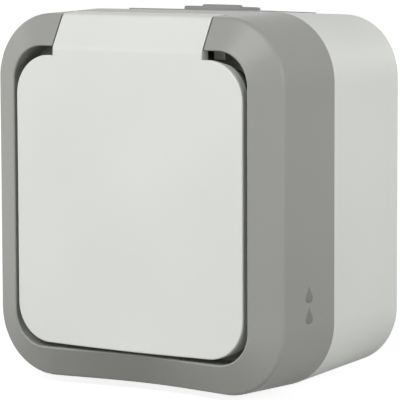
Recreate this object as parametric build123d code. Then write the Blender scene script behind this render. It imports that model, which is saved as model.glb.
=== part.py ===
from build123d import *
from math import atan2, cos, degrees, hypot, radians, sin, sqrt
import os

# Surface-mounted weatherproof socket with a sprung lid, in millimetres.
# Origin: centre of the back face on the wall. +X right, +Z up, the front faces -Y.
# "Depth" is the distance in front of the wall, so y = -depth.

# Housing outline at the frame's front edge
WIDTH = 75.2
HEIGHT = 80.0
CORNER = 14.4
EDGE_DEPTH = 48.3

# Seam between box and frame, and how the outline grows and shrinks with depth
SEAM_DEPTH = 29.4
SEAM_GROWTH = 0.5
BACK_GROWTH = -0.97

# Frame opening and its crest, where the chamfered rim ends
CREST_DEPTH = 52.07
RIM = 6.97

# Walls, floors and rounded edges
BOX_WALL = 2.2
FRAME_WALL = 2.3
RIM_WALL = 3.6
REAR_LIP = 3.0
FLOOR_DEPTH = 45.0
FLOOR_WALL = 2.2
EDGE_ROUND = 1.2
CREST_ROUND = 0.3
BACK_ROUND = 0.7

# Lid panel
LID_DEPTH = 52.2
LID_WALL = 2.4
LID_WIDTH = 59.3
LID_HEIGHT = 63.1
LID_CORNER = 8.6
LID_CENTRE_Z = -0.45
LID_BOW = 0.2
LID_ROUND = 0.3
SKIRT_WALL = 1.4
SKIRT_REACH = 2.2
SKIRT_TOP_Z = 22.0

# Hinge at the top of the lid
AXIS_DEPTH = 47.5
AXIS_Z = 35.5
PIN_R = 0.9
PIN_COVER = 0.4
PIN_END_GAP = 0.1
RUNNING_GAP = 0.05
TONGUE_HALF = 19.6
TONGUE_WALL = 1.5
TONGUE_R = 6.35
TONGUE_END_ANGLE = 136.0
TONGUE_FOOT = 2.0
TONGUE_PROUD = 0.45
CREASE_ROUND = 2.5
TIP_LENGTH = 2.2
TIP_RISE = 1.5
POCKET_R = 6.65
TROUGH_R = 8.0
SIDE_GAP = 0.35
EAR_WALL = 2.75
EAR_FRONT = 48.0
EAR_LOW_Z = 31.0
KNUCKLE_R = 2.2
SHOULDER_R = 6.0
STOP_HALF = 15.0
STOP_REACH = 1.5
STOP_TOP_R = 4.7
STOP_ROOT = 0.5

# Lid spring
WIRE_R = 0.2
COIL_R = 1.45
COIL_PITCH = 1.1
COIL_TURNS = 5.74
COIL_ROOM = 7.4
COIL_START = 250.0
HOUSING_LEG = 6.0
LID_LEG = 3.95

# Finger scoop in the bottom bar
SCOOP_INNER = 1.65
SCOOP_OUTER = 2.9
SCOOP_INNER_HALF = 22.0
SCOOP_OUTER_HALF = 25.0
SCOOP_FADE = 0.7
SCOOP_STEPS = 6
SCOOP_LIFT = 0.05
SCOOP_PAST = 0.8

# Plug well
WELL_R = 19.75
WELL_DEPTH = 17.7
WELL_WALL = 1.85
WELL_FLOOR = 2.5
WELL_CHAMFER = 0.7
COLLAR_R = 22.1
COLLAR_PROUD = 0.6
COLLAR_GAP = 0.3
FLANGE_R = 25.5
FLANGE_WALL = 1.8
FACE_SEAL = 1.5
PIN_PITCH = 19.0
PIN_HOLE_R = 2.6
LUG = 2.0
LUG_ROOT = 0.3
LUG_WIDTH = 5.0
LUG_DROP = 2.5

# Lid seal ring
SEAL_IN = 23.7
SEAL_OUT = 26.1
SEAL_GAP = 0.05
SEAL_ROUND = 0.6
SEAL_FENCE = 1.0
SEAL_FENCE_REACH = 1.5

# Gasket at the seam
GASKET_INSET = 1.2
GASKET_WIDTH = 1.5
GASKET_SLACK = 0.05
GASKET_SINK = 1.2
GASKET_RISE = 0.7

# Cable entries in the top and bottom walls
ENTRY_DEPTH = 15.5
ENTRY_WIDTH = 36.6
ENTRY_LENGTH = 23.0
ENTRY_CORNER = 1.8
ENTRY_LIP = 0.27
LIP_ROUND = 0.12
INNER_FLANGE = 1.2
INNER_FLANGE_LENGTH = 20.0
WINDOW_WIDTH = 32.4
WINDOW_LENGTH = 18.0
WINDOW_CORNER = 3.0
NECK_GAP = 0.2
DISC_R = 8.5
DISC_RISE = 1.06
NIPPLE_R = 4.5
NIPPLE_RISE = 1.49
STEP_ROUND = 0.4
MEMBRANE = 1.1

# Insert base
BASE_BACK = 9.0
BASE_WIDTH = 44.0
BASE_HEIGHT = 40.0
BASE_CORNER = 9.0
EAR_BACK = 11.5
EAR_THICK = 2.5
EAR_SPAN = 61.0
EAR_HEIGHT = 11.0
EAR_CORNER = 3.0
ROOM = 0.2
SLEEVE_ROOM = 0.4
STRAP_ROOM = 0.3
WIRE_HOLE_R = 1.9
WIRE_HOLE_SHIFT = 2.2

# Live contacts and terminals
STRIP = 0.8
SLEEVE_IN = 2.65
SLEEVE_OUT = 3.2
SLEEVE_BACK = 11.8
SLEEVE_DROP = 0.4
SPLIT_HALF = 0.45
SPLIT_ROOT = 2.0
CAGE_WIDTH = 6.4
CAGE_HEIGHT = 6.5
CAGE_Z = 12.0
CAGE_FRONT = 18.0
TERMINAL_DEPTH = 15.0
CLAMP_DROP = 2.3
CLAMP_WALL = 0.9
CLAMP_HALF_WIDTH = 2.1
CLAMP_HALF_LENGTH = 2.4

# Earth strap and its side clips
STRAP_HALF = 3.5
CLIP_Z = 20.6
CLIP_TOUCH_Z = 18.2
CLIP_KNEE = 3.5
CLIP_TOUCH = 8.0
CLIP_FLARE = 1.5
CLIP_DROP = 1.0
CLIP_BEND = 0.9
SLOT_IN = 1.6
SLOT_ROOM = 0.6
SLOT_DROP = 0.3

# Screws, their posts and washers
SCREW_HEAD_R = 2.8
SCREW_HEAD = 2.0
DOME_SHARE = 0.45
SLOT_HALF = 0.4
SLOT_DEPTH = 0.9
HOLE_GAP = 0.02
LOOSE_GAP = 0.3
FRAME_SCREW_X = 23.5
FRAME_SCREW_Z = 26.0
FRAME_SCREW_R = 1.6
FRAME_SCREW_LENGTH = 26.0
FRAME_PILOT_BACK = 16.0
POST_R = 3.6
POST_DROP = 2.4
POST_GAP = 0.2
WASHER_IN = 1.7
WASHER_OUT = 2.9
WASHER = 0.6
INSERT_SCREW_X = 27.0
INSERT_SCREW_R = 1.45
INSERT_SCREW_LENGTH = 9.0
INSERT_POST_R = 3.4
INSERT_PILOT_BACK = 4.2
FACE_SCREW_R = 1.5
FACE_SCREW_BACK = 14.0
FACE_PILOT_BACK = 13.0
FACE_HEAD_R = 3.2
FACE_HEAD_SINK = 1.5
FACE_HEAD_DROP = 0.1
TERMINAL_SCREW_R = 1.4
TERMINAL_HEAD_R = 2.4
TERMINAL_HEAD = 1.8
TERMINAL_HEAD_GAP = 1.1
WALL_SCREW_Z = 30.0
WALL_HOLE_R = 2.3
WALL_WASHER_R = 5.0
WALL_WASHER = 1.2

# Values that follow from the ones above
OPENING_WIDTH = WIDTH - 2 * RIM
OPENING_HEIGHT = HEIGHT - 2 * RIM
OPENING_CORNER = CORNER - RIM
RIM_FALL = CREST_DEPTH - EDGE_DEPTH
FLOOR_BACK = FLOOR_DEPTH - FLOOR_WALL
LID_BACK = LID_DEPTH - LID_WALL
COLLAR_DEPTH = FLOOR_DEPTH + COLLAR_PROUD
WELL_BOTTOM = COLLAR_DEPTH - WELL_DEPTH
FACE_BACK = WELL_BOTTOM - WELL_FLOOR
STRAP_BACK = FACE_BACK - STRIP
SEAL_BACK = FLOOR_BACK - FACE_SEAL
FLANGE_BACK = SEAL_BACK - FLANGE_WALL
NOTCH_HALF = TONGUE_HALF + SIDE_GAP
EAR_OUT = NOTCH_HALF + EAR_WALL
DRAFT = (SEAM_GROWTH - BACK_GROWTH) / SEAM_DEPTH
TAPER = SEAM_GROWTH / (EDGE_DEPTH - SEAM_DEPTH)
TOP_Z = HEIGHT / 2
CREST_Z = TOP_Z - RIM
CREASE_Z = CREST_Z - (LID_DEPTH - CREST_DEPTH) * RIM / RIM_FALL
CLAMP_Z = CAGE_Z + CAGE_HEIGHT - CLAMP_DROP
HEAD_Z = CAGE_Z + CAGE_HEIGHT + TERMINAL_HEAD_GAP
FACE_HEAD_BACK = WELL_BOTTOM - FACE_HEAD_SINK
SIDES = (-1, 1)
CORNERS = [(x * FRAME_SCREW_X, z * FRAME_SCREW_Z) for x in SIDES for z in SIDES]
TERMINALS = [(-PIN_PITCH / 2, -1), (PIN_PITCH / 2, -1), (0, 1)]


def at(depth):
    """Sketch plane parallel to the wall: sketches read (x, z) and extrude towards the front."""
    return Plane(origin=(0, -depth, 0), x_dir=(1, 0, 0), z_dir=(0, -1, 0))


def side(x):
    """Sketch plane square to X: sketches read (depth, z) and extrude towards -X."""
    return Plane(origin=(x, 0, 0), x_dir=(0, -1, 0), z_dir=(-1, 0, 0))


def disc(radius, back, front, x=0.0, z=0.0):
    """Round bar square to the wall."""
    return extrude(at(back) * Pos(x, z) * Circle(radius), front - back)


def ring(inner, outer, back, front, x=0.0):
    """Washer or tube square to the wall."""
    return extrude(at(back) * Pos(x, 0) * (Circle(outer) - Circle(inner)), front - back)


def bar(x_low, x_high, z_low, z_high, back, front):
    """Rectangular block given by its limits."""
    centre = Pos((x_low + x_high) / 2, (z_low + z_high) / 2)
    return extrude(at(back) * centre * Rectangle(x_high - x_low, z_high - z_low), front - back)


def rod(radius, x_low, x_high):
    """Round bar along X on the hinge axis."""
    return extrude(side(x_high) * Pos(AXIS_DEPTH, AXIS_Z) * Circle(radius), x_high - x_low)


def growth(depth):
    """How far the outline stands outside the front edge's outline at a depth."""
    if depth <= SEAM_DEPTH:
        return BACK_GROWTH + DRAFT * depth
    return TAPER * (EDGE_DEPTH - depth)


def outline(depth, inset=0.0):
    """Rounded rectangle of the housing at a depth, its sides moved in by an inset."""
    change = growth(depth) - inset
    return at(depth) * RectangleRounded(WIDTH + 2 * change, HEIGHT + 2 * change, CORNER + change)


def housing(back, front, inset=0.0):
    """Drafted stretch of the housing between two depths on one side of the seam."""
    slope = DRAFT if front <= SEAM_DEPTH else -TAPER
    return extrude(outline(back, inset), front - back, taper=-degrees(atan2(slope, 1)))


def rim_ring(inset, width, back, front):
    """Ring that follows the seam's outline at an inset."""
    outer = outline(SEAM_DEPTH, inset)
    inner = outline(SEAM_DEPTH, inset + width)
    return Pos(0, SEAM_DEPTH - back, 0) * extrude(outer - inner, front - back)


def pan_screw(radius, length, under_head):
    """Pan-head screw that points at the wall, with a driver slot in its domed head."""
    top = under_head + SCREW_HEAD
    head = disc(SCREW_HEAD_R, under_head, top)
    head = fillet(head.edges().group_by(Axis.Y)[0], SCREW_HEAD * DOME_SHARE)
    slot = bar(-SCREW_HEAD_R, SCREW_HEAD_R, -SLOT_HALF, SLOT_HALF, top - SLOT_DEPTH, top)
    return disc(radius, under_head - length, under_head) + head - slot


def make_back_box():
    """Drafted wall box with screw posts, wall holes and a window for each cable entry."""
    shell = housing(0, SEAM_DEPTH)
    shell = fillet(shell.faces().sort_by(Axis.Y)[-1].edges(), BACK_ROUND)
    rim_back = SEAM_DEPTH - RIM_WALL
    shell -= housing(BOX_WALL, rim_back, BOX_WALL)
    shell -= housing(rim_back, SEAM_DEPTH, RIM_WALL)
    shell -= rim_ring(GASKET_INSET, GASKET_WIDTH, SEAM_DEPTH - GASKET_SINK, SEAM_DEPTH)
    for x, z in CORNERS:
        shell += disc(POST_R, BOX_WALL, SEAM_DEPTH - POST_DROP, x, z)
        shell -= disc(FRAME_SCREW_R + HOLE_GAP, FRAME_PILOT_BACK, SEAM_DEPTH, x, z)
    for sign in SIDES:
        x = sign * INSERT_SCREW_X
        shell += disc(INSERT_POST_R, BOX_WALL, EAR_BACK, x)
        shell -= disc(INSERT_SCREW_R + HOLE_GAP, INSERT_PILOT_BACK, EAR_BACK, x)
        shell -= disc(WALL_HOLE_R, 0, BOX_WALL, 0, sign * WALL_SCREW_Z)
    window = Pos(0, -ENTRY_DEPTH, 0) * RectangleRounded(WINDOW_WIDTH, WINDOW_LENGTH, WINDOW_CORNER)
    return shell - extrude(window, HEIGHT, both=True)


def make_entry_seal():
    """Soft cable entry: lip, neck and inner flange round a stepped membrane, square to the drafted wall."""
    tilt = atan2(DRAFT, 1)
    wall_point = (0, -ENTRY_DEPTH, TOP_Z + growth(ENTRY_DEPTH))
    outward = (0, sin(tilt), cos(tilt))
    on_wall = Plane(origin=wall_point, x_dir=(1, 0, 0), z_dir=outward)

    def plate(width, length, corner, low, high):
        return extrude(on_wall * Pos(0, 0, low) * RectangleRounded(width, length, corner), high - low)

    def step(radius, low, high):
        return extrude(on_wall * Pos(0, 0, low) * Circle(radius), high - low)

    def rounded(solid, radius):
        return fillet(solid.edges().group_by(Axis(wall_point, outward))[-1], radius)

    inside = -BOX_WALL - INNER_FLANGE
    neck = (WINDOW_WIDTH - 2 * NECK_GAP, WINDOW_LENGTH - 2 * NECK_GAP, WINDOW_CORNER - NECK_GAP)
    seal = rounded(plate(ENTRY_WIDTH, ENTRY_LENGTH, ENTRY_CORNER, 0, ENTRY_LIP), LIP_ROUND)
    seal += plate(*neck, -BOX_WALL, 0)
    seal += plate(ENTRY_WIDTH, INNER_FLANGE_LENGTH, ENTRY_CORNER, inside, -BOX_WALL)
    seal += rounded(step(DISC_R, 0, DISC_RISE), STEP_ROUND)
    seal += rounded(step(NIPPLE_R, 0, NIPPLE_RISE), STEP_ROUND)
    seal -= step(DISC_R - MEMBRANE, inside, DISC_RISE - MEMBRANE)
    seal -= step(NIPPLE_R - MEMBRANE, -BOX_WALL, NIPPLE_RISE - MEMBRANE)
    return seal


def make_box_gasket():
    """Cord seal that fills the box's groove and the frame's shallow one."""
    inset = GASKET_INSET + GASKET_SLACK
    width = GASKET_WIDTH - 2 * GASKET_SLACK
    return rim_ring(inset, width, SEAM_DEPTH - GASKET_SINK, SEAM_DEPTH + GASKET_RISE)


def make_scoop():
    """Hollow for a finger that fades out at its ends, ruled from the crest to a wider, deeper front edge."""
    places = [step / SCOOP_STEPS for step in range(-SCOOP_STEPS, SCOOP_STEPS + 1)]
    bell = [((1 + cos(radians(180 * place))) / 2) ** SCOOP_FADE for place in places]

    def section(share):
        high = CREST_DEPTH - share * RIM_FALL + SCOOP_LIFT
        sink = SCOOP_INNER + share * (SCOOP_OUTER - SCOOP_INNER) + SCOOP_LIFT
        half = SCOOP_INNER_HALF + share * (SCOOP_OUTER_HALF - SCOOP_INNER_HALF)
        front = CREST_DEPTH + RIM
        points = [(half * place, sink * fall - high) for place, fall in zip(places, bell)]
        curve = Spline(*points, tangents=[(1, 0), (1, 0)])
        rest = Polyline((half, -high), (half, -front), (-half, -front), (-half, -high))
        return Pos(0, 0, -CREST_Z - share * RIM) * make_face(curve + rest)

    return loft([section(-SCOOP_PAST), section(1 + SCOOP_PAST)], ruled=True)


def edges_within(solid, back, front, half_width, half_height):
    """Edges that lie between two depths and inside a centred rectangle, with a little to spare."""
    spare = 0.05
    found = []
    for edge in solid.edges():
        box = edge.bounding_box()
        deep = back - spare <= -box.max.Y and -box.min.Y <= front + spare
        wide = max(-box.min.X, box.max.X) <= half_width + spare
        tall = max(-box.min.Z, box.max.Z) <= half_height + spare
        if deep and wide and tall:
            found.append(edge)
    return found


def frame_outside():
    """Outer form of the frame: drafted sides, chamfered rim with a rounded edge, finger scoop."""
    solid = housing(SEAM_DEPTH, EDGE_DEPTH)
    solid += extrude(outline(EDGE_DEPTH), RIM_FALL, taper=degrees(atan2(RIM, RIM_FALL)))
    solid -= make_scoop()
    front_edge = edges_within(solid, EDGE_DEPTH - 2 * SCOOP_OUTER, EDGE_DEPTH, WIDTH, HEIGHT)
    return fillet(front_edge, EDGE_ROUND)


def make_front_frame():
    """Front frame: chamfered rim, tub with a round mouth, hinge pocket and finger scoop."""
    outside = frame_outside()
    tub = at(FLOOR_DEPTH) * RectangleRounded(OPENING_WIDTH, OPENING_HEIGHT, OPENING_CORNER)
    solid = outside - extrude(tub, CREST_DEPTH)
    lowest = CREST_DEPTH - 2 * SCOOP_INNER
    crest = edges_within(solid, lowest, CREST_DEPTH, OPENING_WIDTH / 2, OPENING_HEIGHT / 2)
    solid = fillet(crest, CREST_ROUND)

    lip_front = SEAM_DEPTH + REAR_LIP
    solid -= housing(SEAM_DEPTH, lip_front, RIM_WALL)
    solid -= housing(lip_front, FLOOR_BACK, FRAME_WALL)
    solid -= rim_ring(GASKET_INSET, GASKET_WIDTH, SEAM_DEPTH, SEAM_DEPTH + GASKET_RISE)

    trough = rod(TROUGH_R, -EAR_OUT, EAR_OUT) & bar(-EAR_OUT, EAR_OUT, 0, HEIGHT, SEAM_DEPTH, FLOOR_DEPTH)
    for sign in SIDES:
        low, high = sorted((sign * NOTCH_HALF, sign * EAR_OUT))
        trough += bar(low, high, EAR_LOW_Z, AXIS_Z, FLOOR_BACK, EAR_FRONT)
    solid += trough & outside
    solid -= rod(POCKET_R, -NOTCH_HALF, NOTCH_HALF)
    solid -= rod(PIN_R + HOLE_GAP, PIN_COVER - EAR_OUT, EAR_OUT - PIN_COVER)

    pocket_low = AXIS_Z - sqrt(POCKET_R**2 - (AXIS_DEPTH - FLOOR_DEPTH) ** 2)
    stop_back = FLOOR_DEPTH - STOP_ROOT
    stop_low = pocket_low - 2 * STOP_ROOT
    stop_high = AXIS_Z - STOP_TOP_R
    solid += bar(-STOP_HALF, STOP_HALF, stop_low, stop_high, stop_back, FLOOR_DEPTH + STOP_REACH)

    column_back = SEAM_DEPTH - POST_DROP + POST_GAP
    for x, z in CORNERS:
        solid += disc(POST_R, column_back, FLOOR_BACK, x, z)
        solid -= disc(FRAME_SCREW_R + POST_GAP, column_back, FLOOR_DEPTH, x, z)
    return solid - disc(COLLAR_R + COLLAR_GAP, FLOOR_BACK, FLOOR_DEPTH)


def tongue_section():
    """Wall of the tongue seen along X: up the chamfer, over the top edge and round to its rear end."""
    slope = hypot(RIM_FALL, RIM)
    low = LID_CENTRE_Z + LID_HEIGHT / 2 - TONGUE_FOOT
    rear = AXIS_DEPTH - TROUGH_R
    top_rear = TOP_Z + TAPER * (EDGE_DEPTH - rear) + TONGUE_PROUD
    spare = LID_WALL / 2
    outer = Polygon(
        (LID_BACK - spare, low), (LID_DEPTH, low), (LID_DEPTH, CREASE_Z), (EDGE_DEPTH, TOP_Z),
        (rear, top_rear), (rear, CREASE_Z), (LID_BACK - spare, CREASE_Z), align=None)
    outer = fillet(outer.vertices().sort_by_distance((EDGE_DEPTH, TOP_Z))[0], EDGE_ROUND)
    outer = fillet(outer.vertices().sort_by_distance((LID_DEPTH, CREASE_Z))[0], CREASE_ROUND)

    in_depth = CREST_DEPTH - TONGUE_WALL * RIM / slope
    in_z = CREST_Z - TONGUE_WALL * RIM_FALL / slope
    under_top = TOP_Z - TONGUE_WALL
    foot_z = in_z + (in_depth - LID_BACK) * RIM / RIM_FALL
    bend_depth = in_depth - (under_top - in_z) * RIM_FALL / RIM
    end = radians(TONGUE_END_ANGLE)
    end_depth = AXIS_DEPTH + TONGUE_R * cos(end)
    end_z = AXIS_Z + TONGUE_R * sin(end)
    inner = Polygon(
        (LID_BACK, low - spare), (LID_BACK, foot_z), (bend_depth, under_top),
        (end_depth + TIP_LENGTH, under_top), (end_depth, end_z), (rear, end_z + TIP_RISE),
        (rear - spare, low - spare), align=None)

    turning = Pos(AXIS_DEPTH, AXIS_Z) * Circle(TONGUE_R)
    foot_top = CREASE_Z - CREASE_ROUND / 2
    foot = Polygon((LID_BACK, low), (LID_DEPTH, low), (LID_DEPTH, foot_top), (LID_BACK, foot_top), align=None)
    return (outer & turning) + foot - inner


def make_lid():
    """Flap with a flush hinge tongue, a skirt at its edges and a fenced seat for its seal."""
    bottom = LID_CENTRE_Z - LID_HEIGHT / 2
    straight = LID_WIDTH / 2 - LID_CORNER
    bow = make_face(
        ThreePointArc((-straight, bottom), (0, bottom - LID_BOW), (straight, bottom))
        + Line((straight, bottom), (-straight, bottom)))
    edge = Pos(0, LID_CENTRE_Z) * RectangleRounded(LID_WIDTH, LID_HEIGHT, LID_CORNER)
    panel = extrude(at(LID_BACK) * (edge + bow), LID_WALL)
    panel = fillet(panel.faces().sort_by(Axis.Y)[0].edges(), LID_ROUND)
    skirt_back = LID_BACK - SKIRT_REACH
    skirt = extrude(at(skirt_back) * (edge - offset(edge, -SKIRT_WALL)), SKIRT_REACH)
    panel += skirt & bar(-LID_WIDTH / 2, LID_WIDTH / 2, -HEIGHT / 2, SKIRT_TOP_Z, skirt_back, LID_BACK)
    for radius in (SEAL_IN - SEAL_FENCE, SEAL_OUT):
        panel += ring(radius, radius + SEAL_FENCE, LID_BACK - SEAL_FENCE_REACH, LID_BACK)
    for sign in SIDES:
        low, high = sorted((sign * TONGUE_HALF, sign * LID_WIDTH / 2))
        panel -= rod(SHOULDER_R, low, high)

    lid = panel + extrude(side(0) * tongue_section(), TONGUE_HALF, both=True)
    for sign in SIDES:
        low, high = sorted((sign * COIL_ROOM, sign * TONGUE_HALF))
        lid += rod(KNUCKLE_R, low, high)
    lid -= rod(COIL_R + 2 * WIRE_R, -COIL_ROOM, COIL_ROOM)
    return lid - rod(PIN_R + RUNNING_GAP, -TONGUE_HALF, TONGUE_HALF)


def make_lid_seal():
    """Ring of soft rubber in the lid, rounded where it meets the frame's floor."""
    seal = ring(SEAL_IN, SEAL_OUT, FLOOR_DEPTH + SEAL_GAP, LID_BACK)
    return fillet(seal.faces().sort_by(Axis.Y)[-1].edges(), SEAL_ROUND)


def make_lid_spring():
    """Torsion spring on the pin: one leg on the pocket wall, one under the tongue's rear end."""
    length = COIL_PITCH * COIL_TURNS
    place = Plane(origin=(-length / 2, -AXIS_DEPTH, AXIS_Z), x_dir=(0, -1, 0), z_dir=(1, 0, 0))
    coil = place * Rot(0, 0, COIL_START) * Helix(COIL_PITCH, length, COIL_R)
    start = Plane(origin=coil @ 0, z_dir=coil % 0)
    finish = Plane(origin=coil @ 1, z_dir=coil % 1)
    spring = sweep(start * Circle(WIRE_R), path=coil, is_frenet=True)
    spring += extrude(start * Circle(WIRE_R), -HOUSING_LEG)
    return spring + extrude(finish * Circle(WIRE_R), LID_LEG)


def make_socket_face():
    """Round plug well with pin holes, side guides, earth slots and a sealing flange."""
    outer_r = WELL_R + WELL_WALL
    face = disc(outer_r, FACE_BACK, FLANGE_BACK)
    face += disc(FLANGE_R, FLANGE_BACK, SEAL_BACK)
    face += disc(COLLAR_R, SEAL_BACK, COLLAR_DEPTH)
    face -= disc(WELL_R, WELL_BOTTOM, COLLAR_DEPTH)
    face = chamfer(face.faces().sort_by(Axis.Y)[0].inner_wires().edges(), WELL_CHAMFER)
    slot_half = STRAP_HALF + SLOT_ROOM
    for sign in SIDES:
        wall = sign * (WELL_R + LUG_ROOT)
        low, high = sorted((wall, wall - sign * LUG))
        face += bar(low, high, -LUG_WIDTH / 2, LUG_WIDTH / 2, WELL_BOTTOM, COLLAR_DEPTH - LUG_DROP)
        face -= disc(PIN_HOLE_R, FACE_BACK, WELL_BOTTOM, sign * PIN_PITCH / 2)
        low, high = sorted((sign * (CLIP_Z - SLOT_IN), sign * FLANGE_R))
        face -= bar(-slot_half, slot_half, low, high, FACE_BACK, FLANGE_BACK - SLOT_DROP)
    face -= disc(FACE_SCREW_R + LOOSE_GAP, FACE_BACK, WELL_BOTTOM)
    return face - disc(FACE_HEAD_R + LOOSE_GAP, FACE_HEAD_BACK, WELL_BOTTOM)


def make_insert_base():
    """Moulded base with fixing ears, a chamber for each contact and terminal, and the strap's channel."""
    block = RectangleRounded(BASE_WIDTH, BASE_HEIGHT, BASE_CORNER)
    base = extrude(at(BASE_BACK) * block, FACE_BACK - BASE_BACK)
    base = base & disc(WELL_R + WELL_WALL, BASE_BACK, FACE_BACK)
    base += extrude(at(EAR_BACK) * RectangleRounded(EAR_SPAN, EAR_HEIGHT, EAR_CORNER), EAR_THICK)
    channel = STRAP_HALF + STRAP_ROOM
    base -= bar(-channel, channel, -BASE_HEIGHT, BASE_HEIGHT, STRAP_BACK, FACE_BACK)
    half = CAGE_WIDTH / 2 + ROOM
    edge_z = BASE_HEIGHT / 2
    back = SLEEVE_BACK - STRIP - ROOM
    cage_front = CAGE_FRONT + ROOM
    wire_z = CAGE_Z + WIRE_HOLE_SHIFT
    for sign in SIDES:
        x = sign * PIN_PITCH / 2
        base -= disc(SLEEVE_OUT + SLEEVE_ROOM, back, FACE_BACK, x)
        base -= bar(x - half, x + half, -edge_z, SLEEVE_OUT + ROOM, back, SLEEVE_BACK + ROOM)
        base -= bar(x - half, x + half, -edge_z, ROOM - CAGE_Z, back, cage_front)
        base -= disc(WIRE_HOLE_R, BASE_BACK, back, x, -wire_z)
        base -= disc(INSERT_SCREW_R + LOOSE_GAP, EAR_BACK, EAR_BACK + EAR_THICK, sign * INSERT_SCREW_X)
    leg_low = CAGE_Z - STRIP - ROOM
    base -= bar(-half, half, leg_low, edge_z, back, cage_front)
    base -= bar(-half, half, leg_low, CAGE_Z + ROOM, CAGE_FRONT, STRAP_BACK)
    base -= disc(WIRE_HOLE_R, BASE_BACK, back, 0, wire_z)
    return base - disc(FACE_SCREW_R + HOLE_GAP, FACE_PILOT_BACK, STRAP_BACK)


def terminal_cage(x, sign):
    """Folded cage, open to front and back, whose outer wall is tapped for the clamping screw."""
    outer_z = CAGE_Z + CAGE_HEIGHT
    low, high = sorted((sign * CAGE_Z, sign * outer_z))
    half = CAGE_WIDTH / 2
    bore = half - STRIP
    cage = bar(x - half, x + half, low, high, SLEEVE_BACK, CAGE_FRONT)
    cage -= bar(x - bore, x + bore, low + STRIP, high - STRIP, SLEEVE_BACK, CAGE_FRONT)
    screw = Plane(origin=(x, -TERMINAL_DEPTH, sign * outer_z), z_dir=(0, 0, -sign))
    return cage - extrude(screw * Circle(TERMINAL_SCREW_R + HOLE_GAP), STRIP)


def make_contact(sign):
    """Live contact: split sleeve on a strip that folds into its terminal cage."""
    x = sign * PIN_PITCH / 2
    half = CAGE_WIDTH / 2
    contact = ring(SLEEVE_IN, SLEEVE_OUT, SLEEVE_BACK, FACE_BACK - SLEEVE_DROP, x)
    low, high = sorted((x, x + sign * 2 * SLEEVE_OUT))
    contact -= bar(low, high, -SPLIT_HALF, SPLIT_HALF, SLEEVE_BACK + SPLIT_ROOT, FACE_BACK)
    contact += bar(x - half, x + half, -CAGE_Z - STRIP, SLEEVE_OUT, SLEEVE_BACK - STRIP, SLEEVE_BACK)
    return contact + terminal_cage(x, -1)


def make_earth_bracket():
    """Earth strap with a sprung clip at each end and its own terminal cage."""
    middle = STRAP_BACK + STRIP / 2
    strap_z = CLIP_Z - CLIP_BEND
    bracket = bar(-STRAP_HALF, STRAP_HALF, -strap_z, strap_z, STRAP_BACK, FACE_BACK)
    clip = [
        (middle, CLIP_Z - CLIP_KNEE), (middle, CLIP_Z), (WELL_BOTTOM + CLIP_KNEE, CLIP_Z),
        (WELL_BOTTOM + CLIP_TOUCH, CLIP_TOUCH_Z), (FLANGE_BACK - CLIP_DROP, CLIP_TOUCH_Z + CLIP_FLARE)]
    for sign in SIDES:
        path = FilletPolyline(*[(depth, sign * z) for depth, z in clip], radius=CLIP_BEND)
        bracket += extrude(side(0) * trace(path, STRIP), STRAP_HALF, both=True)
    half = CAGE_WIDTH / 2
    bracket += bar(-half, half, CAGE_Z - STRIP, CAGE_Z, SLEEVE_BACK, middle)
    bracket += terminal_cage(0, 1)
    return bracket - disc(FACE_SCREW_R + LOOSE_GAP, STRAP_BACK, FACE_BACK)


def make_terminal_screws():
    """Cheese-head screws through the cages' outer walls, each with a driver slot."""
    screws = []
    head_low = HEAD_Z - CLAMP_Z
    slot_low = head_low + TERMINAL_HEAD - SLOT_DEPTH
    for x, sign in TERMINALS:
        axis = Plane(origin=(x, -TERMINAL_DEPTH, sign * CLAMP_Z), x_dir=(1, 0, 0), z_dir=(0, 0, sign))
        screw = extrude(axis * Circle(TERMINAL_SCREW_R), head_low)
        screw += extrude(axis * Pos(0, 0, head_low) * Circle(TERMINAL_HEAD_R), TERMINAL_HEAD)
        slot = Rectangle(2 * TERMINAL_HEAD_R, 2 * SLOT_HALF)
        screws.append(screw - extrude(axis * Pos(0, 0, slot_low) * slot, SLOT_DEPTH))
    return screws


def make_terminal_clamps():
    """Pressure plates under the terminal screws."""
    clamps = []
    back = TERMINAL_DEPTH - CLAMP_HALF_LENGTH
    front = TERMINAL_DEPTH + CLAMP_HALF_LENGTH
    for x, sign in TERMINALS:
        low, high = sorted((sign * CLAMP_Z, sign * (CLAMP_Z - CLAMP_WALL)))
        clamps.append(bar(x - CLAMP_HALF_WIDTH, x + CLAMP_HALF_WIDTH, low, high, back, front))
    return clamps


def make_face_screw():
    """Cheese-head centre screw that clamps well, strap and base."""
    top = WELL_BOTTOM - FACE_HEAD_DROP
    screw = disc(FACE_SCREW_R, FACE_SCREW_BACK, FACE_HEAD_BACK) + disc(FACE_HEAD_R, FACE_HEAD_BACK, top)
    return screw - bar(-FACE_HEAD_R, FACE_HEAD_R, -SLOT_HALF, SLOT_HALF, top - SLOT_DEPTH, top)


def write(name, shapes):
    """One STEP file per node: a single solid, or a group of like solids."""
    shapes = shapes if isinstance(shapes, list) else [shapes]
    solids = [solid for shape in shapes for solid in shape.solids()]
    export_step(Compound(children=solids) if len(solids) > 1 else solids[0], f"parts/{name}.step")


os.makedirs("parts", exist_ok=True)

# Wall box with its entries, washers and gasket
entry_seal = make_entry_seal()
wall_washer = ring(WALL_HOLE_R, WALL_WASHER_R, BOX_WALL, BOX_WALL + WALL_WASHER)
write("back_box", make_back_box())
write("top_entry_seal", entry_seal)
write("bottom_entry_seal", mirror(entry_seal, about=Plane.XY))
write("wall_screw_seals", [Pos(0, 0, sign * WALL_SCREW_Z) * wall_washer for sign in SIDES])
write("box_gasket", make_box_gasket())

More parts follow.
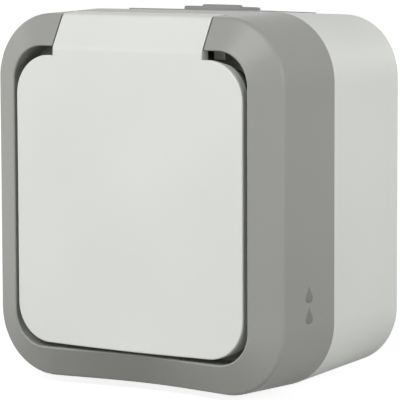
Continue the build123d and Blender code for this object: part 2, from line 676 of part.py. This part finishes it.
# Front frame and its screws
frame_washer = ring(WASHER_IN, WASHER_OUT, FLOOR_DEPTH, FLOOR_DEPTH + WASHER)
frame_screw = pan_screw(FRAME_SCREW_R, FRAME_SCREW_LENGTH, FLOOR_DEPTH + WASHER)
write("front_frame", make_front_frame())
write("frame_screw_seals", [Pos(x, 0, z) * frame_washer for x, z in CORNERS])
write("frame_screws", [Pos(x, 0, z) * frame_screw for x, z in CORNERS])

# Lid, hinge and spring
pin_half = EAR_OUT - PIN_COVER - PIN_END_GAP
write("hinge_pin", rod(PIN_R, -pin_half, pin_half))
write("lid_spring", make_lid_spring())
write("lid", make_lid())
write("lid_seal", make_lid_seal())

# Socket insert
insert_screw = pan_screw(INSERT_SCREW_R, INSERT_SCREW_LENGTH, EAR_BACK + EAR_THICK)
write("socket_face", make_socket_face())
write("face_seal", ring(COLLAR_R + COLLAR_GAP, FLANGE_R - COLLAR_GAP, SEAL_BACK, FLOOR_BACK))
write("face_screw", make_face_screw())
write("insert_base", make_insert_base())
write("line_contact", make_contact(-1))
write("neutral_contact", make_contact(1))
write("earth_bracket", make_earth_bracket())
write("terminal_screws", make_terminal_screws())
write("terminal_clamps", make_terminal_clamps())
write("insert_screws", [Pos(sign * INSERT_SCREW_X, 0, 0) * insert_screw for sign in SIDES])
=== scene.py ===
import math

import bmesh
import bpy
import numpy as np
from mathutils import Matrix, Vector


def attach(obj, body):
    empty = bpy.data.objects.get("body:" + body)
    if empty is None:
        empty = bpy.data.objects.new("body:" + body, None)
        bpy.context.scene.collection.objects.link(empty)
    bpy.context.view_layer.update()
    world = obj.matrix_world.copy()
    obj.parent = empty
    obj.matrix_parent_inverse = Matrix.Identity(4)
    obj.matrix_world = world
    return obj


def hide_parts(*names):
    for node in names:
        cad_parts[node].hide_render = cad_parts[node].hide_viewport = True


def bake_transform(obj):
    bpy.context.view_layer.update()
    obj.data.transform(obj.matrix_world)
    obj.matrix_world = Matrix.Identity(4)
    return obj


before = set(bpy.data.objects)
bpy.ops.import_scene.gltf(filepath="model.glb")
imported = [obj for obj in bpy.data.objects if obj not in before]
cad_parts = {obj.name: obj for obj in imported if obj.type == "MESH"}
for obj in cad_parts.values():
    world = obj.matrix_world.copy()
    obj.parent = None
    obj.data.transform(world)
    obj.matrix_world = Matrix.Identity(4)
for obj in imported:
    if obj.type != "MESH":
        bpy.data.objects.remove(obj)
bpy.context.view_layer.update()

# Wall box: one injection moulding in pale grey weatherproof plastic, drafted so that it leaves the tool.
# It is screwed to the wall through its back, and its open front carries the frame.
# The tool's eroded finish leaves a fine grain with a soft sheen and a slight drift of tone.
MM = 0.001
PALE_GREY = (221, 223, 218)
SATIN_GLOSS = (0.40, 0.50)
PLAIN_SHINE = 0.5
PLASTIC_IOR = 1.49
TONE_DRIFT = 0.02
DRIFT_MM = 30.0
ERODED_GRAIN_MM = 0.45
ERODED_DEPTH_MM = 0.012
ERODED_STRENGTH = 0.35
NOISE_LOW = 0.3
NOISE_HIGH = 0.7


def tone(srgb, share=1.0):
    """Linear colour with alpha for an 8-bit sRGB colour: the sRGB curve per channel, times a share."""
    channel = np.array(srgb) / 255.0
    curve = np.where(channel <= 0.04045, channel / 12.92, ((channel + 0.055) / 1.055) ** 2.4)
    return (*(curve * share), 1.0)


def new_material(name):
    """Empty node material with its node tree, Principled shader and Object coordinates."""
    material = bpy.data.materials.new(name)
    material.use_nodes = True
    tree = material.node_tree
    place = tree.nodes.new("ShaderNodeTexCoord").outputs["Object"]
    return material, tree, tree.nodes["Principled BSDF"], place


def grain_noise(tree, place, wavelength_mm, detail=2.0):
    """Noise between 0 and 1 whose lumps are about one wavelength across."""
    noise = tree.nodes.new("ShaderNodeTexNoise")
    noise.inputs["Scale"].default_value = 1.0 / (wavelength_mm * MM)
    noise.inputs["Detail"].default_value = detail
    tree.links.new(place, noise.inputs["Vector"])
    return noise.outputs["Fac"]


def spread(tree, value, low, high):
    """Noise mapped in a straight line to a range, from the middle stretch in which most of it lies."""
    node = tree.nodes.new("ShaderNodeMapRange")
    node.inputs["From Min"].default_value = NOISE_LOW
    node.inputs["From Max"].default_value = NOISE_HIGH
    node.inputs["To Min"].default_value = low
    node.inputs["To Max"].default_value = high
    tree.links.new(value, node.inputs["Value"])
    return node.outputs["Result"]


def two_tones(tree, value, first, second):
    """Colour that runs from the first tone to the second as the value goes from 0 to 1."""
    node = tree.nodes.new("ShaderNodeMix")
    node.data_type = "RGBA"
    node.inputs["A"].default_value = first
    node.inputs["B"].default_value = second
    tree.links.new(value, node.inputs["Factor"])
    return node.outputs["Result"]


def dimple(tree, shader, height, depth_mm, strength):
    """Bump of a real depth from a height between 0 and 1."""
    bump = tree.nodes.new("ShaderNodeBump")
    bump.inputs["Strength"].default_value = strength
    bump.inputs["Distance"].default_value = depth_mm * MM
    tree.links.new(height, bump.inputs["Height"])
    tree.links.new(bump.outputs["Normal"], shader.inputs["Normal"])


def moulded_plastic(
    name, srgb, gloss=SATIN_GLOSS, grain_mm=ERODED_GRAIN_MM, drift=TONE_DRIFT, shine=PLAIN_SHINE
):
    """Moulded plastic: the tone drifts in wide clouds, and the eroded grain gives roughness and dimples."""
    material, tree, shader, place = new_material(name)
    drifting = spread(tree, grain_noise(tree, place, DRIFT_MM, detail=1.0), 0.0, 1.0)
    colour = two_tones(tree, drifting, tone(srgb, 1.0 - drift), tone(srgb, 1.0 + drift))
    tree.links.new(colour, shader.inputs["Base Color"])
    grain = grain_noise(tree, place, grain_mm)
    tree.links.new(spread(tree, grain, *gloss), shader.inputs["Roughness"])
    dimple(tree, shader, grain, ERODED_DEPTH_MM, ERODED_STRENGTH)
    shader.inputs["IOR"].default_value = PLASTIC_IOR
    shader.inputs["Specular IOR Level"].default_value = shine
    return material


def finish_node(node, material):
    """Gives a node of the frame its finish, in place of the plain one it came with."""
    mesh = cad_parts[node].data
    mesh.materials.clear()
    mesh.materials.append(material)


pale_plastic = moulded_plastic("pale_moulded_plastic", PALE_GREY)
finish_node("back_box", pale_plastic)

# Cable entries: soft mouldings pressed into the top and bottom windows of the box.
# They are a rubbery grey plastic with stepped membranes that are cut open for the cable.
ENTRY_GREY = (142, 144, 141)
ENTRY_BLOOM = (148, 150, 147)
RUBBER_GLOSS = (0.62, 0.78)
RUBBER_SHINE = 0.35
BLOOM_MM = 6.0
SKIN_MM = 0.3
SKIN_DEPTH_MM = 0.015
SKIN_STRENGTH = 0.4


def soft_rubber(name, srgb, bloom):
    """Rubber: matt, with a pale bloom in patches of a few millimetres and a fine skin texture."""
    material, tree, shader, place = new_material(name)
    patches = spread(tree, grain_noise(tree, place, BLOOM_MM, detail=4.0), 0.0, 1.0)
    colour = two_tones(tree, patches, tone(srgb), tone(bloom))
    tree.links.new(colour, shader.inputs["Base Color"])
    skin = grain_noise(tree, place, SKIN_MM)
    tree.links.new(spread(tree, skin, *RUBBER_GLOSS), shader.inputs["Roughness"])
    dimple(tree, shader, skin, SKIN_DEPTH_MM, SKIN_STRENGTH)
    shader.inputs["Specular IOR Level"].default_value = RUBBER_SHINE
    return material


entry_rubber = soft_rubber("entry_soft_grey", ENTRY_GREY, ENTRY_BLOOM)
finish_node("top_entry_seal", entry_rubber)
finish_node("bottom_entry_seal", entry_rubber)

# Washers and cord seals: black rubber at the wall and frame screws, round the box's rim, round the well
# and in the lid. They keep water out where two mouldings meet.
SEAL_BLACK = (34, 34, 35)
SEAL_BLOOM = (52, 52, 53)
seal_rubber = soft_rubber("black_seal_rubber", SEAL_BLACK, SEAL_BLOOM)
for node in ("wall_screw_seals", "box_gasket", "face_seal", "frame_screw_seals", "lid_seal"):
    finish_node(node, seal_rubber)

# Insert base: dark heat-proof moulding behind the well, with a chamber for each contact.
# Two screws hold it on the posts of the box.
BASE_DARK = (84, 85, 86)
BASE_GLOSS = (0.5, 0.62)
BASE_GRAIN_MM = 0.7
BASE_DRIFT = 0.08
base_plastic = moulded_plastic("dark_base_plastic", BASE_DARK, BASE_GLOSS, BASE_GRAIN_MM, BASE_DRIFT)
finish_node("insert_base", base_plastic)

# Contacts, earth strap and clamps: stamped and folded brass strip.
# Handling leaves it a little browner in patches, and rolling leaves fine lines one way.
BRASS = (214, 178, 104)
BRASS_STAIN = (192, 152, 84)
BRASS_GLOSS = (0.24, 0.42)
LINE_MM = 0.12
LINE_STRETCH = 30.0
LINE_DEPTH_MM = 0.006
LINE_STRENGTH = 0.3
STAIN_MM = 4.0


def drawn_metal(name, srgb, stained, gloss, along):
    """Metal with fine lines along one axis: noise that is stretched that way, and stains in patches."""
    material, tree, shader, place = new_material(name)
    stretch = tree.nodes.new("ShaderNodeMapping")
    stretch.inputs["Scale"].default_value = [1.0 / LINE_STRETCH if axis == along else 1.0 for axis in "XYZ"]
    tree.links.new(place, stretch.inputs["Vector"])
    lines = grain_noise(tree, stretch.outputs["Vector"], LINE_MM)
    stains = spread(tree, grain_noise(tree, place, STAIN_MM, detail=3.0), 0.0, 1.0)
    tree.links.new(two_tones(tree, stains, tone(srgb), tone(stained)), shader.inputs["Base Color"])
    tree.links.new(spread(tree, lines, *gloss), shader.inputs["Roughness"])
    dimple(tree, shader, lines, LINE_DEPTH_MM, LINE_STRENGTH)
    shader.inputs["Metallic"].default_value = 1.0
    return material


strip_brass = drawn_metal("stamped_brass", BRASS, BRASS_STAIN, BRASS_GLOSS, "Z")
for node in ("line_contact", "neutral_contact", "earth_bracket", "terminal_clamps"):
    finish_node(node, strip_brass)

# Screws and hinge pin: cold-headed steel with a bright plated finish.
# Drawing and turning leave fine lines in it.
STEEL = (196, 197, 196)
STEEL_STAIN = (176, 177, 176)
STEEL_GLOSS = (0.22, 0.38)
plated_steel = drawn_metal("plated_steel", STEEL, STEEL_STAIN, STEEL_GLOSS, "X")
for node in ("terminal_screws", "insert_screws", "face_screw", "frame_screws", "hinge_pin"):
    finish_node(node, plated_steel)

# Plug well: pale moulding that sits behind the frame's round mouth.
# Its centre screw clamps it on the base, and its flange presses a ring seal against the frame.
WELL_PALE = (212, 214, 209)
WELL_GLOSS = (0.3, 0.4)
well_plastic = moulded_plastic("well_plastic", WELL_PALE, WELL_GLOSS)
finish_node("socket_face", well_plastic)

# Front frame: mid-grey moulding that closes the box and takes the lid in its tub.
# Four screws inside the tub hold it; the rim is chamfered all round with a finger scoop below.
# The scoop's face carries painted shade, darker towards its middle.
FRAME_GREY = (156, 157, 152)
FRAME_GLOSS = (0.27, 0.35)
FRAME_SHINE = 0.2
SCOOP_PAINTED_SHADE = 0.9
PAINTED_SHADE_CENTRE = Vector((0.0, -48.0, -37.0)) * MM
PAINTED_SHADE_HALF = Vector((25.0, 12.0, 10.0)) * MM


def paint_scoop_shade(material):
    """Painted shade: darkens the colour by a smooth share that falls from the scoop's centre to the rim of
    an ellipsoid.
    """
    tree = material.node_tree
    shader = tree.nodes["Principled BSDF"]
    plain = shader.inputs["Base Color"].links[0].from_socket
    place = tree.nodes.new("ShaderNodeTexCoord").outputs["Object"]
    apart = tree.nodes.new("ShaderNodeVectorMath")
    apart.operation = "SUBTRACT"
    apart.inputs[1].default_value = PAINTED_SHADE_CENTRE
    tree.links.new(place, apart.inputs[0])
    scaled = tree.nodes.new("ShaderNodeVectorMath")
    scaled.operation = "DIVIDE"
    scaled.inputs[1].default_value = PAINTED_SHADE_HALF
    tree.links.new(apart.outputs["Vector"], scaled.inputs[0])
    away = tree.nodes.new("ShaderNodeVectorMath")
    away.operation = "LENGTH"
    tree.links.new(scaled.outputs["Vector"], away.inputs[0])
    fade = tree.nodes.new("ShaderNodeMapRange")
    fade.interpolation_type = "SMOOTHSTEP"
    fade.inputs["To Min"].default_value = SCOOP_PAINTED_SHADE
    fade.inputs["To Max"].default_value = 1.0
    tree.links.new(away.outputs["Value"], fade.inputs["Value"])
    shaded = tree.nodes.new("ShaderNodeVectorMath")
    shaded.operation = "SCALE"
    tree.links.new(plain, shaded.inputs[0])
    tree.links.new(fade.outputs["Result"], shaded.inputs["Scale"])
    tree.links.new(shaded.outputs["Vector"], shader.inputs["Base Color"])


frame_plastic = moulded_plastic("grey_frame_plastic", FRAME_GREY, FRAME_GLOSS, shine=FRAME_SHINE)
# Painted shade on the scoop's face, darkest at its middle.
paint_scoop_shade(frame_plastic)
finish_node("front_frame", frame_plastic)

# Water drops: two small raised signs on the frame's right side that say the socket sheds water.
# They are low bosses of the moulding, printed a darker grey.
SIGN_GREY = (118, 119, 117)
SIGN_GLOSS = (0.45, 0.55)
SIGN_DRIFT = 0.03
SIGN_DEPTH = 39.0 * MM
SIGN_HALF_WIDTH = 1.7 * MM
SIGN_HALF_HEIGHT = 1.9 * MM
SIGN_PITCH = 4.5 * MM
SIGN_CENTRE_Z = -20.6 * MM
SIGN_RISE = 0.12 * MM
SIGN_SINK = 0.06 * MM
DROP_BELLY = 1.3
DROP_RIM_POWER = 6
DROP_ROWS = 14
DROP_COLUMNS = 64
SIDE_X = 37.6 * MM
SIDE_EDGE_DEPTH = 48.3 * MM
SIDE_SLOPE = 0.5 / 18.9
WELD = 0.00001 * MM


def grid_mesh(name, points, close_round=False):
    """Mesh of quads over a grid of points, rows by columns: the columns can close into a ring, and a row
    whose points lie together becomes one vertex, so that the shape is closed there."""
    rows, columns = points.shape[:2]
    index = np.arange(rows * columns).reshape(rows, columns)
    if close_round:
        index = np.concatenate([index, index[:, :1]], axis=1)
    corners = (index[:-1, :-1], index[:-1, 1:], index[1:, 1:], index[1:, :-1])
    faces = np.stack(corners, axis=-1).reshape(-1, 4)
    mesh = bpy.data.meshes.new(name)
    mesh.from_pydata(points.reshape(-1, 3).tolist(), [], faces.tolist())
    welded = bmesh.new()
    welded.from_mesh(mesh)
    bmesh.ops.remove_doubles(welded, verts=welded.verts, dist=WELD)
    welded.to_mesh(mesh)
    welded.free()
    mesh.shade_smooth()
    return mesh


def add_piece(name, mesh, material):
    """Object at the origin for a finished mesh, with its one material."""
    mesh.materials.append(material)
    piece = bpy.data.objects.new(name, mesh)
    bpy.context.scene.collection.objects.link(piece)
    return piece


def drop_points(centre_z):
    """Drop: outline (belly * sin a * sin(a/2)^2, cos a) for a from 0 to 360 degrees, filled from the rim to
    the centre, with a rounded rise that starts just inside the wall it stands on; a flat back closes it."""
    around = np.linspace(0.0, 2.0 * np.pi, DROP_COLUMNS, endpoint=False)
    inward = np.concatenate([[0.0], np.linspace(1.0, 0.0, DROP_ROWS)])[:, None]
    lifted = np.concatenate([[0.0], np.ones(DROP_ROWS)])[:, None]
    across = DROP_BELLY * np.sin(around) * np.sin(around / 2.0) ** 2 * inward
    upward = np.cos(around) * inward
    depth = SIGN_DEPTH + SIGN_HALF_WIDTH * across
    rise = (SIGN_RISE + SIGN_SINK) * lifted * np.sqrt(1.0 - inward**DROP_RIM_POWER) - SIGN_SINK
    x = SIDE_X + SIDE_SLOPE * (SIDE_EDGE_DEPTH - depth) + rise
    return np.stack([x, -depth, centre_z + SIGN_HALF_HEIGHT * upward], axis=-1)


sign_print = moulded_plastic("sign_print_grey", SIGN_GREY, SIGN_GLOSS, drift=SIGN_DRIFT)
for place_name, offset in (("upper", 0.5), ("lower", -0.5)):
    sign_name = "drop_sign_" + place_name
    sign_points = drop_points(SIGN_CENTRE_Z + offset * SIGN_PITCH)
    drop_sign = add_piece(sign_name, grid_mesh(sign_name, sign_points, close_round=True), sign_print)
    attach(drop_sign, "housing")

# Lid spring: a small torsion spring of steel wire wound on the hinge pin.
# One leg bears on the pocket's wall, the other under the lid's tongue, so it winds up as the lid opens.
WIRE_STEEL = (186, 187, 188)
WIRE_STAIN = (166, 167, 168)
WIRE_GLOSS = (0.2, 0.34)
WIRE_R = 0.2 * MM
WIRE_SIDES = 14
COIL_R = 1.45 * MM
COIL_PITCH = 1.1 * MM
COIL_TURNS = 5.74
COIL_START = math.radians(250.0)
COIL_ROWS = 280
COIL_LENGTH = COIL_PITCH * COIL_TURNS
HOUSING_LEG = 6.0 * MM
HOUSING_LEG_ROWS = 12
LID_LEG = 3.95 * MM
LID_LEG_ROWS = 10
LEG_STEP = 0.3 * MM
HINGE_DEPTH = 47.5 * MM
HINGE_Z = 35.5 * MM


def coil_directions(turns):
    """Direction out of the axis and direction of winding at each turn, both square to X: the cosine and sine
    of the angle wound so far, and the same a quarter turn on."""
    angle = COIL_START + 2.0 * np.pi * turns
    zero = np.zeros_like(angle)
    outward = np.stack([zero, -np.cos(angle), -np.sin(angle)], axis=-1)
    onward = np.stack([zero, np.sin(angle), -np.cos(angle)], axis=-1)
    return outward, onward


def with_legs(along_coil):
    """Rows along the coil with the first one repeated for the housing's leg and the last for the lid's."""
    first = np.repeat(along_coil[:1], HOUSING_LEG_ROWS, axis=0)
    last = np.repeat(along_coil[-1:], LID_LEG_ROWS, axis=0)
    return np.concatenate([first, along_coil, last])


def spring_points():
    """Wire carried along a straight leg, a helix and a second straight leg: at each point of that path the
    wire's circle lies square to it, between the axis-wise and the outward direction."""
    turns = np.linspace(0.0, COIL_TURNS, COIL_ROWS)
    outward, onward = coil_directions(turns)
    axle = np.array([1.0, 0.0, 0.0])
    middle = np.array([0.0, -HINGE_DEPTH, HINGE_Z])
    coil = middle + COIL_R * outward + (COIL_PITCH * turns - COIL_LENGTH / 2.0)[:, None] * axle
    tangent = 2.0 * np.pi * COIL_R * onward + COIL_PITCH * axle
    tangent /= np.linalg.norm(tangent, axis=1, keepdims=True)
    first = coil[0] - np.linspace(HOUSING_LEG, LEG_STEP, HOUSING_LEG_ROWS)[:, None] * tangent[0]
    last = coil[-1] + np.linspace(LEG_STEP, LID_LEG, LID_LEG_ROWS)[:, None] * tangent[-1]
    path = np.concatenate([first, coil, last])
    out = with_legs(outward)
    across = np.cross(with_legs(tangent), out)
    around = np.linspace(0.0, 2.0 * np.pi, WIRE_SIDES, endpoint=False)[None, :, None]
    tube = path[:, None] + WIRE_R * (np.cos(around) * out[:, None] + np.sin(around) * across[:, None])
    start_cap = np.broadcast_to(path[0], tube[:1].shape)
    end_cap = np.broadcast_to(path[-1], tube[:1].shape)
    return np.concatenate([start_cap, tube, end_cap])


spring_wire = drawn_metal("spring_wire", WIRE_STEEL, WIRE_STAIN, WIRE_GLOSS, "X")
spring_mesh = grid_mesh("wire_spring", spring_points(), close_round=True)
wire_spring = add_piece("wire_spring", spring_mesh, spring_wire)
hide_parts("lid_spring")
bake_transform(wire_spring)

# Lid: a flat pale flap with a tongue that wraps over the top of the frame onto the hinge pin.
# It is moulded in the same plastic as the box, and its skirt and seal close on the tub's floor.
lid_plastic = moulded_plastic("lid_moulded_plastic", PALE_GREY)
finish_node("lid", lid_plastic)

# Floor: a plain pale sheet under the object that runs back out of sight and keeps its soft shadow.
# It shows white to the camera, and dimmer in reflections close to the object: painted shade in its glow,
# where the object shades it.
FLOOR_GREY = (190, 190, 190)
FLOOR_Z = -41.9 * MM
FLOOR_HALF = 6.0
SEEN_GLOW = {"near": 0.1, "far": 0.6, "near_glow": 0.86}
# Painted shade: mirrors and glass see the floor's glow dimmer near the object.
MIRRORED_GLOW_PAINTED_SHADE = {"near": 0.06, "far": 0.4, "near_glow": 0.3}


def seen_directly(tree):
    """1 for a ray from the camera, a mirror or glass, and 0 for the soft light between surfaces."""
    path = tree.nodes.new("ShaderNodeLightPath")
    first = tree.nodes.new("ShaderNodeMath")
    first.operation = "MAXIMUM"
    tree.links.new(path.outputs["Is Camera Ray"], first.inputs[0])
    tree.links.new(path.outputs["Is Glossy Ray"], first.inputs[1])
    both = tree.nodes.new("ShaderNodeMath")
    both.operation = "MAXIMUM"
    tree.links.new(first.outputs["Value"], both.inputs[0])
    tree.links.new(path.outputs["Is Transmission Ray"], both.inputs[1])
    return both.outputs["Value"]


def rising_glow(tree, away, near, far, near_glow):
    """Glow that rises in a straight line from its value at a near distance to full white at a far one."""
    rise = tree.nodes.new("ShaderNodeMapRange")
    rise.inputs["From Min"].default_value = near
    rise.inputs["From Max"].default_value = far
    rise.inputs["To Min"].default_value = near_glow
    rise.inputs["To Max"].default_value = 1.0
    tree.links.new(away, rise.inputs["Value"])
    return rise.outputs["Result"]


def pale_stage(name, srgb):
    """Pale diffuse sheet that also glows for rays from the camera, mirrors and glass: the glow rises with
    the distance from the object to full white, so that only the object's own shadow stays visible. For
    mirrors and glass it starts lower near the object, as painted shade."""
    material = bpy.data.materials.new(name)
    material.use_nodes = True
    tree = material.node_tree
    tree.nodes.clear()
    sheet = tree.nodes.new("ShaderNodeBsdfDiffuse")
    sheet.inputs["Color"].default_value = tone(srgb)
    away = tree.nodes.new("ShaderNodeVectorMath")
    away.operation = "LENGTH"
    place = tree.nodes.new("ShaderNodeTexCoord").outputs["Object"]
    tree.links.new(place, away.inputs[0])
    glow = tree.nodes.new("ShaderNodeMix")
    path = tree.nodes.new("ShaderNodeLightPath")
    tree.links.new(path.outputs["Is Camera Ray"], glow.inputs["Factor"])
    tree.links.new(rising_glow(tree, away.outputs["Value"], **MIRRORED_GLOW_PAINTED_SHADE), glow.inputs["A"])
    tree.links.new(rising_glow(tree, away.outputs["Value"], **SEEN_GLOW), glow.inputs["B"])
    light = tree.nodes.new("ShaderNodeEmission")
    tree.links.new(glow.outputs["Result"], light.inputs["Strength"])
    both = tree.nodes.new("ShaderNodeAddShader")
    tree.links.new(sheet.outputs["BSDF"], both.inputs[0])
    tree.links.new(light.outputs["Emission"], both.inputs[1])
    choose = tree.nodes.new("ShaderNodeMixShader")
    tree.links.new(seen_directly(tree), choose.inputs["Fac"])
    tree.links.new(sheet.outputs["BSDF"], choose.inputs[1])
    tree.links.new(both.outputs["Shader"], choose.inputs[2])
    end = tree.nodes.new("ShaderNodeOutputMaterial")
    tree.links.new(choose.outputs["Shader"], end.inputs["Surface"])
    return material


reach = np.array([-FLOOR_HALF, 0.0, FLOOR_HALF])
floor_x, floor_y = np.meshgrid(reach, reach)
floor_points = np.stack([floor_x, floor_y, np.full_like(floor_x, FLOOR_Z)], axis=-1)
floor_sheet = pale_stage("pale_floor", FLOOR_GREY)
floor = add_piece("floor", grid_mesh("floor", floor_points), floor_sheet)

# Room: an even white surround that the camera, mirrors and glass see past the floor.
# It gives no soft light of its own, so the lamps alone light the matt surfaces.
WHITE = (1.0, 1.0, 1.0, 1.0)
world = bpy.data.worlds.new("pale_room")
bpy.context.scene.world = world
world.use_nodes = True
room = world.node_tree
background = room.nodes["Background"]
background.inputs["Color"].default_value = WHITE
room.links.new(seen_directly(room), background.inputs["Strength"])

# Softboxes: square studio lamps round the object, each aimed at its middle.
# The strongest hangs high in front, and the others fill the front, the sides and the back.
# Each has its place and its side in metres, and its power in watts.
OBJECT_MIDDLE = Vector((0.0, -0.026, 0.0))
SOFTBOXES = {
    "left_soft": ((-1.5, -0.7, 0.3), 0.9, 5.4),
    "front_left": ((-0.95, -1.35, 0.15), 0.5, 3.9),
    "front_soft": ((-0.1, -1.6, 0.12), 0.45, 2.6),
    "front_high": ((0.0, -1.3, 1.1), 0.9, 17.0),
    "right_soft": ((1.6, -0.25, 0.3), 0.9, 12.2),
    "right_back": ((1.3, 0.7, 0.4), 0.8, 5.2),
    "back_soft": ((0.0, 1.9, 0.2), 0.4, 7.0),
}


def softbox(name, place, size, watts):
    """Square area lamp at a place in metres, turned to face the object's middle."""
    lamp = bpy.data.lights.new(name, "AREA")
    lamp.size = size
    lamp.energy = watts
    holder = bpy.data.objects.new(name, lamp)
    holder.location = place
    holder.rotation_mode = "QUATERNION"
    holder.rotation_quaternion = (OBJECT_MIDDLE - Vector(place)).to_track_quat("-Z", "Y")
    bpy.context.scene.collection.objects.link(holder)


for name, (place, size, watts) in SOFTBOXES.items():
    softbox(name, place, size, watts)

# Camera: a long lens from the front right, a little above the object.
# It stands about 0.6 m from the object's middle and leans over by a fifth of a degree.
AZIMUTH = math.radians(34.6309)
ELEVATION = math.radians(6.0047)
ROLL = math.radians(-0.1846)
LENS_MM = 241.699
SENSOR_MM = 36.0
TARGET = Vector((-0.383, -24.0, -1.876)) * MM
DISTANCE = 597.82 * MM
CLIP_NEAR = 0.05
CLIP_FAR = 50.0
back = Vector((
    math.sin(AZIMUTH) * math.cos(ELEVATION),
    -math.cos(AZIMUTH) * math.cos(ELEVATION),
    math.sin(ELEVATION)))
right = Vector((math.cos(AZIMUTH), math.sin(AZIMUTH), 0.0))
up = back.cross(right)
rolled_right = math.cos(ROLL) * right + math.sin(ROLL) * up
rolled_up = math.cos(ROLL) * up - math.sin(ROLL) * right
turn = Matrix((rolled_right, rolled_up, back)).transposed().to_4x4()
camera_data = bpy.data.cameras.new("camera")
camera_data.lens = LENS_MM
camera_data.sensor_width = SENSOR_MM
camera_data.clip_start = CLIP_NEAR
camera_data.clip_end = CLIP_FAR
camera = bpy.data.objects.new("camera", camera_data)
camera.matrix_world = Matrix.Translation(TARGET + DISTANCE * back) @ turn
bpy.context.scene.collection.objects.link(camera)
bpy.context.scene.camera = camera
bpy.context.scene.view_settings.view_transform = "Standard"
